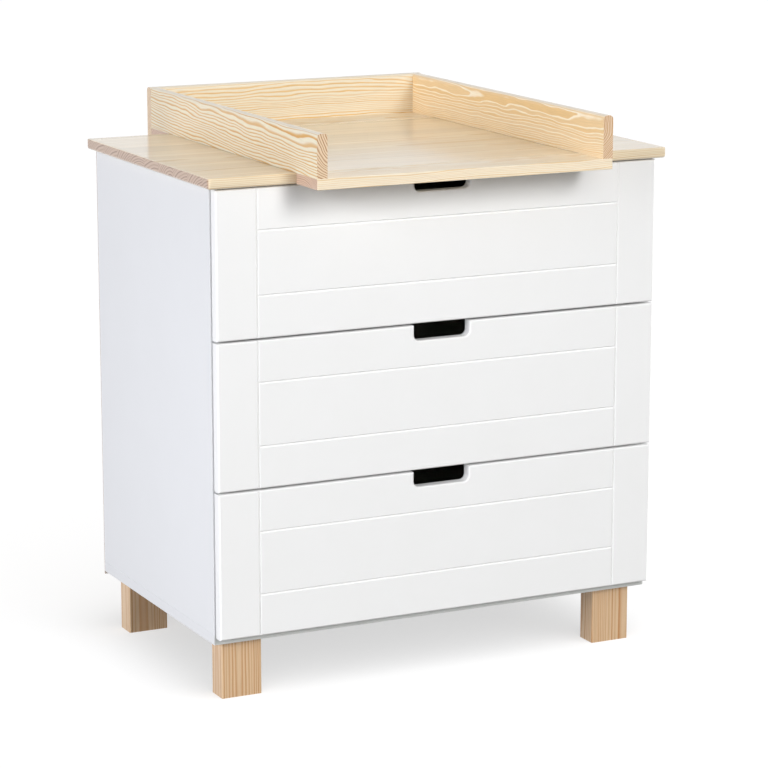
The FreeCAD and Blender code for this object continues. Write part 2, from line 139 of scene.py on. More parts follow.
# %% Lamps
bpy.context.scene.view_settings.view_transform = "Standard"
BOX_SIZE = 0.8


def hang(name, data, source, place=(0, 0, 0)):
    """Put a lamp at a place, so that its light comes from the direction of source."""
    lamp = bpy.data.objects.new(name, data)
    lamp.location = place
    lamp.rotation_mode = "QUATERNION"
    lamp.rotation_quaternion = source.to_track_quat("Z", "Y")
    lamp.visible_camera = False
    lamp.visible_glossy = False
    bpy.context.scene.collection.objects.link(lamp)


def add_sun(name, azimuth, elevation, spread, strength, tint):
    """A soft sun, with angles in degrees. Azimuth 0 shines from the front and 90 from the right."""
    data = bpy.data.lights.new(name, "SUN")
    data.energy = strength
    data.angle = math.radians(spread)
    data.color = colour(tint)[:3]
    turn, rise = math.radians(azimuth), math.radians(elevation)
    source = Vector((math.sin(turn) * math.cos(rise), -math.cos(turn) * math.cos(rise), math.sin(rise)))
    hang(name, data, source)


def add_box(name, place, target, power, tint):
    """A soft box near the chest, so that its light fades over it, aimed at a target."""
    data = bpy.data.lights.new(name, "AREA")
    data.energy = power
    data.size = BOX_SIZE
    data.color = colour(tint)[:3]
    hang(name, data, Vector(place) - Vector(target), place)


add_sun("front_sun_low", 13, 5, 12, 0.04, "#FFFFFE")
add_sun("front_sun_middle", 13, 15, 14, 0.56, "#FFFFFE")
add_sun("front_sun_high", 13, 28, 18, 1.16, "#FFFFFE")
add_sun("left_window", -75, 12, 40, 2.44, "#F9FAFF")
add_sun("overhead", 180, 72, 80, 0.04, "#FFFFFF")
add_sun("back_window", 165, 22, 60, 0.50, "#EEF3FF")
add_sun("right_fill", 100, 8, 24, 2.20, "#FFFFFF")
add_sun("floor_lamp", 0, 40, 100, 5.00, "#FFFFFF")
add_box("front_box", (-0.1, -2.0, 1.7), (0, -0.27, 0.6), 7.6, "#FFFFFE")
add_box("side_box", (-1.6, -0.45, 0.45), (-0.41, -0.45, 0.45), 4.8, "#F9FAFF")
add_box("top_box", (0.0, -0.9, 1.9), (0, -0.1, 0.9), 2.0, "#FFFDFB")

# %% [markdown]
# The world and the floor are plain white for the camera and for reflections, and dimmer for the light that
# they throw back, so that the background is white without more light on the chest. The floor also glows by
# itself, and its lamp brings it up to white everywhere but in the shadow.

# %% World
AMBIENT = 0.10


def seen_directly(tree):
    """1 for rays from the camera, a reflection or glass, and 0 for light that is thrown back."""
    rays = add(tree, "ShaderNodeLightPath", {}).node.outputs
    seen = rays["Is Camera Ray"]
    for kind in ("Is Glossy Ray", "Is Transmission Ray"):
        seen = add(tree, "ShaderNodeMath", {0: seen, 1: rays[kind]}, operation="MAXIMUM")
    return seen


world = bpy.data.worlds.new("studio")
world.use_nodes = True
tree = world.node_tree
tree.nodes.clear()
dim = add(tree, "ShaderNodeBackground", {"Color": (1, 1, 1, 1), "Strength": AMBIENT})
white = add(tree, "ShaderNodeBackground", {"Color": (1, 1, 1, 1), "Strength": 1.0})
sky = add(tree, "ShaderNodeMixShader", {0: seen_directly(tree), 1: dim, 2: white})
add(tree, "ShaderNodeOutputWorld", {"Surface": sky})
bpy.context.scene.world = world
print("the world lights the chest at", AMBIENT, "of white")

# %% Floor
FLOOR_BOUNCE = "#6A6A6A"
FLOOR_WHITE = "#A0A0A0"
FLOOR_GLOW = 0.62
FLOOR_REACH = 30

floor_paint, tree = new_material("white_studio_floor")
thrown = add(tree, "ShaderNodeBsdfDiffuse", {"Color": colour(FLOOR_BOUNCE)})
lit = add(tree, "ShaderNodeBsdfDiffuse", {"Color": colour(FLOOR_WHITE)})
glow = add(tree, "ShaderNodeEmission", {"Color": (1, 1, 1, 1), "Strength": FLOOR_GLOW})
shown = add(tree, "ShaderNodeAddShader", {0: lit, 1: glow})
surface = add(tree, "ShaderNodeMixShader", {0: seen_directly(tree), 1: thrown, 2: shown})
add(tree, "ShaderNodeOutputMaterial", {"Surface": surface})

floor_mesh = bpy.data.meshes.new("floor")
corners = [Vector((x, y, 0)) * FLOOR_REACH for x, y in ((-1, -1), (1, -1), (1, 1), (-1, 1))]
floor_mesh.from_pydata(corners, [], [(0, 1, 2, 3)])
floor_mesh.materials.append(floor_paint)
floor = bpy.data.objects.new("floor", floor_mesh)
bpy.context.scene.collection.objects.link(floor)
print("floor reaches", FLOOR_REACH, "m each way")

# %% [markdown]
# In a studio, the floor is lit apart from the object. Blender's light linking does that: a lamp's receivers
# are what it lights, and its blockers are what casts its shadow. The floor takes its light from a lamp of its
# own, and the box above the front lights only the pine on top. Only the underside and the feet block the
# floor's lamp, because the real shadow is a soft patch under the chest and no tray can be seen in it.

# %% What each lamp lights
UNDERSIDE = ("bottom_board", "bottom_drawer_base", "front_left_foot", "front_right_foot", "rear_left_foot",
             "rear_right_foot")
PINE_TOP = ("top_board", "tray_front_strip", "tray_rear_strip")


def collect(name, members, state="INCLUDE"):
    """A collection for light linking, which counts its members in or out."""
    group = bpy.data.collections.new(name)
    for member in members:
        group.objects.link(member)
    for entry in group.collection_objects:
        entry.light_linking.link_state = state
    return group


everything_else = collect("all_but_floor", [floor], "EXCLUDE")
receivers = {
    "floor_lamp": collect("floor_only", [floor]),
    "top_box": collect("pine_top", [nodes[name] for name in PINE_TOP]),
}
for lamp in [o for o in bpy.data.objects if o.type == "LIGHT"]:
    lamp.light_linking.receiver_collection = receivers.get(lamp.name, everything_else)
underside = collect("underside", [nodes[name] for name in UNDERSIDE])
bpy.data.objects["floor_lamp"].light_linking.blocker_collection = underside
print("lamps with receivers of their own:", sorted(receivers))

# %% [markdown]
# ## White lacquered fronts
# The drawer fronts are MDF, routed with V grooves and sprayed with satin white lacquer. Sprayed lacquer dries
# with a faint orange peel, which breaks up reflections without changing the colour. A flat white would look
# like paper, so the tone drifts slightly over the width of a hand and the roughness drifts with it.
# The carcass boards are chipboard faced with white melamine, pressed with a fine pearl grain, and a touch
# cooler. The drawer boxes are wrapped in thin white foil, which is duller still.

# %% White boards
HAND_WIDTH_MM = 90
# How squarely a face looks one way before it counts, as a cosine: at once, or gradually round an edge.
SQUARE_ON = {"From Min": 0.7, "From Max": 0.8}
ROUND_AN_EDGE = {"From Min": 0.6, "From Max": 0.95}


def faces_along(tree, direction):
    """The cosine between a face's normal and a direction: 1 where the face looks straight along it."""
    normal = add(tree, "ShaderNodeTexCoord", {}, "Normal")
    return add(tree, "ShaderNodeVectorMath", {0: normal, 1: direction}, "Value", operation="DOT_PRODUCT")


def white_board(name, light, shade, roughness, grain_mm, grain_depth_mm, painted_front_shade=None):
    """A white sheet finish: a slow drift of tone, a grain as bump, and perhaps a front edge in painted shade.
    """
    material, tree = new_material(name)
    place = add(tree, "ShaderNodeTexCoord", {}, "Object")
    drift_links = {"Vector": place, "Scale": 1 / (HAND_WIDTH_MM * MM), "Detail": 3.0}
    drift = add(tree, "ShaderNodeTexNoise", drift_links, "Fac")
    grain_links = {"Vector": place, "Scale": 1 / (grain_mm * MM), "Detail": 2.0}
    grain = add(tree, "ShaderNodeTexNoise", grain_links, "Fac")
    tone_links = {MIX_FACTOR: drift, MIX_A: colour(shade), MIX_B: colour(light)}
    tone = add(tree, "ShaderNodeMix", tone_links, MIX_RESULT, data_type="RGBA")
    # Faces that look to the front are painted grey, as painted shade under the overhanging drawer front.
    if painted_front_shade:
        front = faces_along(tree, (0, -1, 0))
        front_shade_mask = add(tree, "ShaderNodeMapRange", {"Value": front, **SQUARE_ON})
        front_shade_links = {MIX_FACTOR: front_shade_mask, MIX_A: tone, MIX_B: colour(painted_front_shade)}
        tone = add(tree, "ShaderNodeMix", front_shade_links, MIX_RESULT, data_type="RGBA")
    gloss_links = {"Value": drift, "To Min": roughness - 0.05, "To Max": roughness + 0.05}
    gloss = add(tree, "ShaderNodeMapRange", gloss_links)
    bump_links = {"Height": grain, "Distance": grain_depth_mm * MM, "Strength": 0.5}
    bump = add(tree, "ShaderNodeBump", bump_links)
    shader_links = {"Base Color": tone, "Roughness": gloss, "Normal": bump, "IOR": 1.5}
    shader = add(tree, "ShaderNodeBsdfPrincipled", shader_links)
    add(tree, "ShaderNodeOutputMaterial", {"Surface": shader})
    return material


# Satin lacquer on MDF: soft broad highlights. The peel is about 1 mm in truth, drawn at 3 mm to show at all.
front_lacquer = white_board("satin_lacquered_mdf", "#F7F7F7", "#F4F4F3", 0.40, 3.0, 0.02)
# Melamine-faced chipboard: flat, slightly cool white. The pearl is 0.8 mm in truth, drawn at 2.5 mm.
carcass_melamine = white_board("white_melamine_chipboard", "#E7E8EA", "#E3E4E6", 0.45, 2.5, 0.03)
# The bottom board is the same, but its front edge, under the drawer front, is painted grey as painted shade.
bottom_board_painted_shade = white_board("chipboard_with_painted_front_shade", "#E5E6E8", "#E1E2E4", 0.45, 2.5, 0.03, "#D6D8D5")
# Foil-wrapped chipboard of the drawer boxes: matt and faintly warm.
drawer_foil = white_board("white_foil_chipboard", "#EFEEEA", "#EAE9E5", 0.55, 2.0, 0.02)
print("white boards:", [m.name for m in (front_lacquer, carcass_melamine, bottom_board_painted_shade, drawer_foil)])

# %% [markdown]
# ## Pine
# Pine is pale earlywood with thin orange lines of latewood, one for each year. A texture on the surface could
# copy one face, but the lines have to run over edges and end in arcs on the end grain. So each board is cut
# from an imagined trunk: the distance from the trunk's heart gives the year, slow noise makes the trunk
# crooked, and the board's place beside the heart decides whether it shows flames or straight lines. Every
# board gets its own place in its own trunk. Clear lacquer leaves the wood satin, and end grain soaks it up
# and looks darker.

# %% Where a board lay in its trunk
GRAIN_TURN = {"x": (0, 0, 0), "y": (0, 0, -90), "z": (0, 90, 0)}
GRAIN_AXIS = {"x": (1, 0, 0), "y": (0, 1, 0), "z": (0, 0, 1)}
# How far apart in the trunk the strips of a glued panel are cut, along and across it in millimetres.
STRIP_SPREAD = (3000, 70, 60)
# Slow bends over a hand's length and short kinks as near a branch: their reach along and across the trunk in
# millimetres, and a seed.
SLOW_BENDS = (260, 70, 0.0)
SHORT_KINKS = (70, 22, 9.0)


def trunk_place(tree, node, grain, heart, lean):
    """Millimetres from the trunk's heart, with X along the grain. Heart is seen from the board's middle."""
    turn = Euler([math.radians(a) for a in GRAIN_TURN[grain]]).to_matrix()
    tilt = Euler([0, math.radians(lean[0]), math.radians(lean[1])]).to_matrix()
    turn = tilt @ turn
    low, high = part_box(node)
    middle = turn @ ((low + high) / 2 / MM)
    links = {
        "Vector": add(tree, "ShaderNodeTexCoord", {}, "Object"),
        "Scale": (1 / MM, 1 / MM, 1 / MM),
        "Rotation": turn.to_euler(),
        "Location": -middle - Vector((0, *heart)),
    }
    return add(tree, "ShaderNodeMapping", links)


def glued_strips(tree, place, width):
    """Move each strip of a glued panel to its own part of the trunk. Returns the place and a chance value."""
    parts = add(tree, "ShaderNodeSeparateXYZ", {"Vector": place}).node.outputs
    count = add(tree, "ShaderNodeMath", {0: parts["Y"], 1: width}, operation="DIVIDE")
    strip = add(tree, "ShaderNodeMath", {0: count}, operation="FLOOR")
    within = add(tree, "ShaderNodeMath", {0: count}, operation="FRACT")
    within = add(tree, "ShaderNodeMath", {0: within, 1: width, 2: -width / 2}, operation="MULTIPLY_ADD")
    chance = add(tree, "ShaderNodeTexWhiteNoise", {"W": strip}, noise_dimensions="1D").node.outputs
    cut = add(tree, "ShaderNodeCombineXYZ", {"X": parts["X"], "Y": within, "Z": parts["Z"]})
    apart_links = {0: chance["Color"], 1: STRIP_SPREAD, 2: cut}
    apart = add(tree, "ShaderNodeVectorMath", apart_links, operation="MULTIPLY_ADD")
    return apart, chance["Value"]


def crooked(tree, place, amount, along, across, seed):
    """Push the rings sideways by noise that is amount millimetres strong."""
    scale = (1 / along, 1 / across, 1 / across)
    stretched_links = {0: place, 1: scale, 2: (seed, seed, seed)}
    stretched = add(tree, "ShaderNodeVectorMath", stretched_links, operation="MULTIPLY_ADD")
    noise_links = {"Vector": stretched, "Scale": 1.0, "Detail": 1.5}
    noise = add(tree, "ShaderNodeTexNoise", noise_links, "Color")
    offset_links = {0: noise, 1: (0.5, 0.5, 0.5)}
    offset = add(tree, "ShaderNodeVectorMath", offset_links, operation="SUBTRACT")
    push_links = {0: offset, 1: (0, amount, amount), 2: place}
    return add(tree, "ShaderNodeVectorMath", push_links, operation="MULTIPLY_ADD")


print("grain can run along", sorted(GRAIN_AXIS))

# %% The years in the wood
# Good and poor years follow each other in waves of this many years, and shift the rings by up to so many.
WAVE_YEARS = 6
WAVE_SHIFT = 3.0
# The dark line of latewood ends within the last part of its year.
WINTER = {"From Min": 0.93, "From Max": 1.0, "To Min": 1.0, "To Max": 0.0}


def count_years(tree, place, ring):
    """Years from the heart outwards, for rings about so many millimetres wide."""
    across = add(tree, "ShaderNodeVectorMath", {0: place, 1: (0, 1, 1)}, operation="MULTIPLY")
    radius = add(tree, "ShaderNodeVectorMath", {0: across}, "Value", operation="LENGTH")
    wave_links = {"W": radius, "Scale": 1 / (WAVE_YEARS * ring), "Detail": 1.0}
    wave = add(tree, "ShaderNodeTexNoise", wave_links, "Fac", noise_dimensions="1D")
    shift = add(tree, "ShaderNodeMath", {0: wave, 1: WAVE_SHIFT}, operation="MULTIPLY")
    return add(tree, "ShaderNodeMath", {0: radius, 1: 1 / ring, 2: shift}, operation="MULTIPLY_ADD")


def latewood_in(tree, years, darkening, faintest):
    """1 in latewood and 0 in earlywood. The wood darkens slowly in a year and stops short at the winter."""
    part = add(tree, "ShaderNodeMath", {0: years}, operation="FRACT")
    rise_links = {"Value": part, "From Min": darkening[0], "From Max": darkening[1]}
    rise = add(tree, "ShaderNodeMapRange", rise_links, interpolation_type="SMOOTHSTEP")
    fall = add(tree, "ShaderNodeMapRange", {"Value": part, **WINTER})
    line = add(tree, "ShaderNodeMath", {0: rise, 1: fall}, operation="MULTIPLY")
    year = add(tree, "ShaderNodeMath", {0: years}, operation="FLOOR")
    chance = add(tree, "ShaderNodeTexWhiteNoise", {"W": year}, "Value", noise_dimensions="1D")
    vigour = add(tree, "ShaderNodeMapRange", {"Value": chance, "To Min": faintest, "To Max": 1.0})
    return add(tree, "ShaderNodeMath", {0: line, 1: vigour}, operation="MULTIPLY")


def fibre_streaks(tree, place, length, width, strength):
    """Streaks along the grain, in millimetres. Fibres are far thinner than a pixel, so these are bundles of
    them. Returns the noise and the factor for the colour."""
    bundle_links = {0: place, 1: (1 / length, 1 / width, 1 / width)}
    bundle = add(tree, "ShaderNodeVectorMath", bundle_links, operation="MULTIPLY")
    fibre = add(tree, "ShaderNodeTexNoise", {"Vector": bundle, "Scale": 1.0, "Detail": 2.0}, "Fac")
    streak = add(tree, "ShaderNodeMapRange", {"Value": fibre, "To Min": 1 - strength, "To Max": 1 + strength})
    return fibre, streak


print("good and poor years in waves of", WAVE_YEARS)

# %% Clear-lacquered pine
# Sawn ends: the colours of their earlywood and latewood, and the share of the rings that is drawn there,
# because rings of 2 to 3 mm are too fine to show from the camera. The tray's ends are paler than the top's.
BOARD_ENDS = ("#E8D0B0", "#A87446", 0.9)
CROWN_ENDS = ("#F0DCC2", "#C99E72", 0.9)
TOP_ENDS = ("#BD9F88", "#775037", 0.6)
STRIP_ENDS = ("#D6B8A2", "#9C6F54", 0.8)
END_GRAIN = {"From Min": 0.75, "From Max": 0.8}
# The tray boards' upper edges are painted paler, a painted sheen for the white they mirror at low angles.
PAINTED_SHEEN = "#E8E0D2"
PAINTED_SHEEN_COVER = 0.7
# The tone of the glued strips differs, from the darkest to the lightest.
STRIP_TONE = {"To Min": 0.88, "To Max": 1.08}


def clear_lacquer(tree, tone, latewood, fibre, weight, roughness):
    """The lacquered surface. Latewood is harder, so it is glossier and stands a little proud."""
    gloss = add(tree, "ShaderNodeMapRange", {"Value": latewood, "To Min": 0.46, "To Max": 0.36})
    relief = add(tree, "ShaderNodeMath", {0: latewood, 1: fibre}, operation="ADD")
    bump = add(tree, "ShaderNodeBump", {"Height": relief, "Distance": 0.05 * MM, "Strength": 0.4})
    shader_links = {"Base Color": tone, "Roughness": gloss, "Normal": bump, "IOR": 1.5,
                    "Coat Weight": weight, "Coat Roughness": roughness}
    shader = add(tree, "ShaderNodeBsdfPrincipled", shader_links)
    add(tree, "ShaderNodeOutputMaterial", {"Surface": shader})


def pine(node, grain, heart, lean, ring, early, late, ends=BOARD_ENDS, strips=0, bends=16, kinks=4.0,
         faintest=0.4, darkening=(0.40, 0.82), coat=(0.5, 0.25), fibres=(40, 1, 0.15), crown=None):
    """Clear-lacquered pine for one board, cut beside the heart of a trunk that leans by some degrees. Ring is
    the width of a year and strips that of glued strips, bends and kinks say how crooked the trunk is, and
    fibres are the streaks' length and width, all in millimetres, and their strength. Faintest is the weakest
    latewood, darkening the part of a year in which it forms, coat the lacquer's weight and roughness, and
    crown the colour of the painted sheen on upward faces, such as a rounded upper edge."""
    material, tree = new_material("lacquered_pine_" + node)
    place = trunk_place(tree, node, grain, heart, lean)
    if strips:
        place, chance = glued_strips(tree, place, strips)
    place = crooked(tree, place, bends, *SLOW_BENDS)
    place = crooked(tree, place, kinks, *SHORT_KINKS)
    years = count_years(tree, place, ring)
    end = add(tree, "ShaderNodeMath", {0: faces_along(tree, GRAIN_AXIS[grain])}, operation="ABSOLUTE")
    drawn = add(tree, "ShaderNodeMapRange", {"Value": end, **END_GRAIN, "To Min": 1.0, "To Max": ends[2]})
    years = add(tree, "ShaderNodeMath", {0: years, 1: drawn}, operation="MULTIPLY")
    latewood = latewood_in(tree, years, darkening, faintest)

    fibre, streak = fibre_streaks(tree, place, *fibres)
    if strips:
        strip_tone = add(tree, "ShaderNodeMapRange", {"Value": chance, **STRIP_TONE})
        streak = add(tree, "ShaderNodeMath", {0: streak, 1: strip_tone}, operation="MULTIPLY")
    wood_links = {MIX_FACTOR: latewood, MIX_A: colour(early), MIX_B: colour(late)}
    wood = add(tree, "ShaderNodeMix", wood_links, MIX_RESULT, data_type="RGBA")
    wood = add(tree, "ShaderNodeVectorMath", {0: wood, "Scale": streak}, operation="SCALE")

    # End grain drinks the lacquer, so it is darker and pinker.
    sawn = add(tree, "ShaderNodeMapRange", {"Value": end, **ROUND_AN_EDGE})
    arcs_links = {MIX_FACTOR: latewood, MIX_A: colour(ends[0]), MIX_B: colour(ends[1])}
    arcs = add(tree, "ShaderNodeMix", arcs_links, MIX_RESULT, data_type="RGBA")
    tone_links = {MIX_FACTOR: sawn, MIX_A: wood, MIX_B: arcs}
    tone = add(tree, "ShaderNodeMix", tone_links, MIX_RESULT, data_type="RGBA")
    # Upward faces get a painted sheen: a paler colour in place of the white they mirror at low angles.
    if crown:
        upward = faces_along(tree, (0, 0, 1))
        painted_sheen_mask = add(tree, "ShaderNodeMapRange", {"Value": upward, **ROUND_AN_EDGE, "To Max": PAINTED_SHEEN_COVER})
        painted_sheen_links = {MIX_FACTOR: painted_sheen_mask, MIX_A: tone, MIX_B: colour(crown)}
        tone = add(tree, "ShaderNodeMix", painted_sheen_links, MIX_RESULT, data_type="RGBA")
    clear_lacquer(tree, tone, latewood, fibre, *coat)
    return material


print("sawn ends in", len({BOARD_ENDS, CROWN_ENDS, TOP_ENDS, STRIP_ENDS}), "tones")

# %% [markdown]
# Each board's cut is chosen for the figure that it shows. The right tray board is cut flat to the rings near
# its upper edge, so that part is a broad crown of latewood with pale lines. The left one is cut steeper
# through the rings and shows many narrow lines. The top is glued from strips 62 mm wide, with long soft
# streaks, and the grain of the feet runs upright.

# %% The pine boards
STRIP_COLOURS = {"early": "#F0E3CC", "late": "#DBB677", "ends": STRIP_ENDS}
FOOT_CUT = {"grain": "z", "lean": (0.2, 0.1), "ring": 2.8, "early": "#D7B893", "late": "#B5793B",
            "bends": 4, "kinks": 1.0}
board_cuts = {
    "top_board": {"grain": "x", "heart": (0, -30), "lean": (0.3, 0.2), "ring": 3.0, "early": "#EADBBF",
                  "late": "#CFAC74", "ends": TOP_ENDS, "strips": 62, "bends": 10, "kinks": 1.5,
                  "coat": (1.0, 0.15), "fibres": (300, 12, 0.20)},
    "tray_left_board": {"grain": "y", "heart": (-60, 60), "lean": (2.4, 0.4), "ring": 3.8, "early": "#ECE3CB",
                        "late": "#D2982E", "kinks": 6.5, "faintest": 0.75, "crown": PAINTED_SHEEN},
    "tray_right_board": {"grain": "y", "heart": (51, 30), "lean": (0.4, 0.6), "ring": 3.0, "early": "#FFF4DE",
                         "late": "#EBC890", "ends": CROWN_ENDS, "kinks": 6.0, "faintest": 0.75,
                         "darkening": (0.06, 0.34), "crown": PAINTED_SHEEN},
    "tray_back_board": {"grain": "x", "heart": (60, 60), "lean": (0.4, 0.3), "ring": 2.6, "early": "#E9E0CC",
                        "late": "#DBAE59", "crown": PAINTED_SHEEN},
    "tray_front_strip": {"grain": "x", "heart": (20, -70), "lean": (0.3, 0.2), "ring": 2.4, **STRIP_COLOURS},
    "tray_rear_strip": {"grain": "x", "heart": (-15, -60), "lean": (0.3, 0.4), "ring": 2.8, **STRIP_COLOURS},
    "front_left_foot": {"heart": (0.4, 5), **FOOT_CUT},
    "front_right_foot": {"heart": (24, -29), **FOOT_CUT},
    "rear_left_foot": {"heart": (6, 10), **FOOT_CUT},
    "rear_right_foot": {"heart": (-4, -12), **FOOT_CUT},
}
pine_of = {name: pine(name, **cut) for name, cut in board_cuts.items()}
print("pine boards:", sorted(pine_of))

# %% [markdown]
# ## Hardboard
# The back panel and the drawer bases are thin hardboard: wood fibre pressed hot on a wire screen. The good
# face is sprayed white and turns inwards, and the other face stays brown with the screen's print on it.
# The side that a face looks to decides which of the two it gets.

# %% Hardboard, white on one face
# The screen's wires are about 1.5 mm apart. They and the bundles of fibre are drawn at 4 mm, to show at all.
SCREEN_MM = 4


def hardboard(name, white_side):
    """Pressed brown fibre board, painted white on the face that looks along white_side."""
    material, tree = new_material(name)
    place = add(tree, "ShaderNodeTexCoord", {}, "Object")
    fibre_links = {"Vector": place, "Scale": 1 / (SCREEN_MM * MM), "Detail": 5.0, "Roughness": 0.7}
    fibre = add(tree, "ShaderNodeTexNoise", fibre_links, "Fac")
    brown_links = {MIX_FACTOR: fibre, MIX_A: colour("#6E4C2F"), MIX_B: colour("#A57A4E")}
    brown = add(tree, "ShaderNodeMix", brown_links, MIX_RESULT, data_type="RGBA")
    painted = add(tree, "ShaderNodeMapRange", {"Value": faces_along(tree, white_side), **SQUARE_ON})
    face_links = {MIX_FACTOR: painted, MIX_A: brown, MIX_B: colour("#ECEBE7")}
    face = add(tree, "ShaderNodeMix", face_links, MIX_RESULT, data_type="RGBA")
    screen = add(tree, "ShaderNodeTexVoronoi", {"Vector": place, "Scale": 1 / (SCREEN_MM * MM)}, "Distance")
    bump = add(tree, "ShaderNodeBump", {"Height": screen, "Distance": 0.1 * MM, "Strength": 0.35})
    gloss = add(tree, "ShaderNodeMapRange", {"Value": painted, "To Min": 0.75, "To Max": 0.45})
    shader_links = {"Base Color": face, "Roughness": gloss, "Normal": bump, "IOR": 1.5}
    shader = add(tree, "ShaderNodeBsdfPrincipled", shader_links)
    add(tree, "ShaderNodeOutputMaterial", {"Surface": shader})
    return material


back_hardboard = hardboard("hardboard_white_front", (0, -1, 0))
base_hardboard = hardboard("hardboard_white_top", (0, 0, 1))
print("hardboard:", back_hardboard.name, base_hardboard.name)

# %% [markdown]
# ## Metals
# The runners are rolled from steel strip and zinc plated: bright, a little blue, with faint lines along the
# rolling direction. Screws and nails carry the same plating but are tumbled, so it is cloudy, not lined. The
# cam fittings are die-cast zinc, greyer and grainy.


# %% Plated steel and cast zinc
def metal(name, bright, dull, roughness, stretch_mm):
    """A metal whose brightness and roughness change over patches of stretch_mm along X, Y and Z."""
    material, tree = new_material(name)
    place = add(tree, "ShaderNodeTexCoord", {}, "Object")
    scale = tuple(1 / (mm * MM) for mm in stretch_mm)
    stretched = add(tree, "ShaderNodeVectorMath", {0: place, 1: scale}, operation="MULTIPLY")
    cloud = add(tree, "ShaderNodeTexNoise", {"Vector": stretched, "Scale": 1.0, "Detail": 3.0}, "Fac")
    tone_links = {MIX_FACTOR: cloud, MIX_A: colour(dull), MIX_B: colour(bright)}
    tone = add(tree, "ShaderNodeMix", tone_links, MIX_RESULT, data_type="RGBA")
    gloss_links = {"Value": cloud, "To Min": roughness * 1.3, "To Max": roughness * 0.7}
    gloss = add(tree, "ShaderNodeMapRange", gloss_links)
    bump = add(tree, "ShaderNodeBump", {"Height": cloud, "Distance": 0.02 * MM, "Strength": 0.3})
    shader_links = {"Base Color": tone, "Metallic": 1.0, "Roughness": gloss, "Normal": bump}
    shader = add(tree, "ShaderNodeBsdfPrincipled", shader_links)
    add(tree, "ShaderNodeOutputMaterial", {"Surface": shader})
    return material


# Rolled strip: bright, with lines 60 mm long and 1.5 mm apart along the runner.
runner_steel = metal("zinc_plated_rolled_steel", "#D3D7DB", "#BCC1C6", 0.32, (1.5, 60, 1.5))
# Tumbled screws: the same plating, cloudy in spots of about 1 mm.
screw_steel = metal("zinc_plated_tumbled_steel", "#CDD1D6", "#AEB3B9", 0.30, (1.2, 1.2, 1.2))
# Die-cast zinc: greyer and duller, with a fine grain.
cast_zinc = metal("die_cast_zinc", "#B4B6B8", "#96989B", 0.45, (0.8, 0.8, 0.8))
print("metals:", [m.name for m in (runner_steel, screw_steel, cast_zinc)])

# %% [markdown]
# ## Finishes for the CAD nodes
# The solids already have the right shapes, so they stay as they are, and only their material slots change.
# A node's finish follows from its name: the first rule that fits wins.

# %% Give every CAD node its finish
DRAWERS = ("bottom", "middle", "top")
finish_rules = [
    ("back_panel", back_hardboard),
    ("bottom_board", bottom_board_painted_shade),
    ("_base", base_hardboard),
    ("_front", front_lacquer),
    ("cam_fittings", cast_zinc),
    ("screws", screw_steel),
    ("nails", screw_steel),
    ("cabinet_rail", runner_steel),
    ("intermediate_rails", runner_steel),
    ("drawer_left_rail", runner_steel),
    ("drawer_right_rail", runner_steel),
    ("_drawer_", drawer_foil),
    ("", carcass_melamine),
]
for name, node in nodes.items():
    finish = pine_of.get(name) or next(m for word, m in finish_rules if word in name)
    for material_slot in node.material_slots:
        material_slot.material = finish
print("finished", len(nodes), "CAD nodes")

# %% [markdown]
# ## Screws and nails
# A plain turned solid says where a screw is, and the eye wants its cross recess and thread. One screw is
# modelled in a Geometry Nodes tree from named sizes, and the tree puts a copy wherever the CAD has one. The
# places come from the CAD meshes: a loose part's long axis is the screw's line, and its wide end is the head.

# %% Where the CAD puts its fasteners
SHORTEST_FASTENER = 5 * MM


def loose_parts(node):
    """The separate solids of a CAD node, as arrays of points in metres."""
    mesh = nodes[node].data
    points = np.array([v.co for v in mesh.vertices]).round(6)
    corner_of, links = np.unique(points, axis=0, return_inverse=True)
    links = links.ravel()
    parent = list(range(len(corner_of)))

    def root(i):
        while parent[i] != i:
            parent[i] = parent[parent[i]]
            i = parent[i]
        return i

    for face in mesh.polygons:
        first, *others = [root(links[i]) for i in face.vertices]
        for other in others:
            parent[root(other)] = root(first)
    groups = {}
    for i in range(len(corner_of)):
        groups.setdefault(root(i), []).append(corner_of[i])
    return [np.array(group) for group in groups.values()]


def fastener_spots(node):
    """(head's middle, direction out of the head) for each fastener in a CAD group."""
    spots = []
    for points in loose_parts(node):
        low, high = points.min(0), points.max(0)
        if (high - low).max() < SHORTEST_FASTENER:
            continue
        axis = int((high - low).argmax())
        middle = (low + high) / 2
        spread = np.linalg.norm(np.delete(points - middle, axis, 1), axis=1)
        top = points[spread.argmax(), axis]
        outward = np.zeros(3)
        outward[axis] = 1 if top > middle[axis] else -1
        middle[axis] = high[axis] if outward[axis] > 0 else low[axis]
        spots.append((Vector(middle), Vector(outward)))
    return spots


print("foot screws at", len(fastener_spots("foot_screws")), "places")

# %% [markdown]
# The tree makes one fastener that hangs down from the origin: a cone or disc for the head, a cross cut out of
# it, a shank, a point, and a thread swept along a spiral. Sizes are inputs, so one tree serves every kind.


# %% The two ends of a tree
def new_tree(name, sizes):
    """An empty Geometry Nodes tree with named sizes and a material. Returns the tree and its inputs."""
    tree = bpy.data.node_groups.new(name, "GeometryNodeTree")
    tree.interface.new_socket("Geometry", in_out="INPUT", socket_type="NodeSocketGeometry")
    for label in sizes:
        tree.interface.new_socket(label, in_out="INPUT", socket_type="NodeSocketFloat")
    tree.interface.new_socket("Material", in_out="INPUT", socket_type="NodeSocketMaterial")
    tree.interface.new_socket("Geometry", in_out="OUTPUT", socket_type="NodeSocketGeometry")
    return tree, tree.nodes.new("NodeGroupInput").outputs


def finish_tree(tree, sockets, copies):
    """Realize the copies, give them the material and hand them out."""
    solid = add(tree, "GeometryNodeRealizeInstances", {"Geometry": copies})
    painted = add(tree, "GeometryNodeSetMaterial", {"Geometry": solid, "Material": sockets["Material"]})
    add(tree, "NodeGroupOutput", {"Geometry": painted})


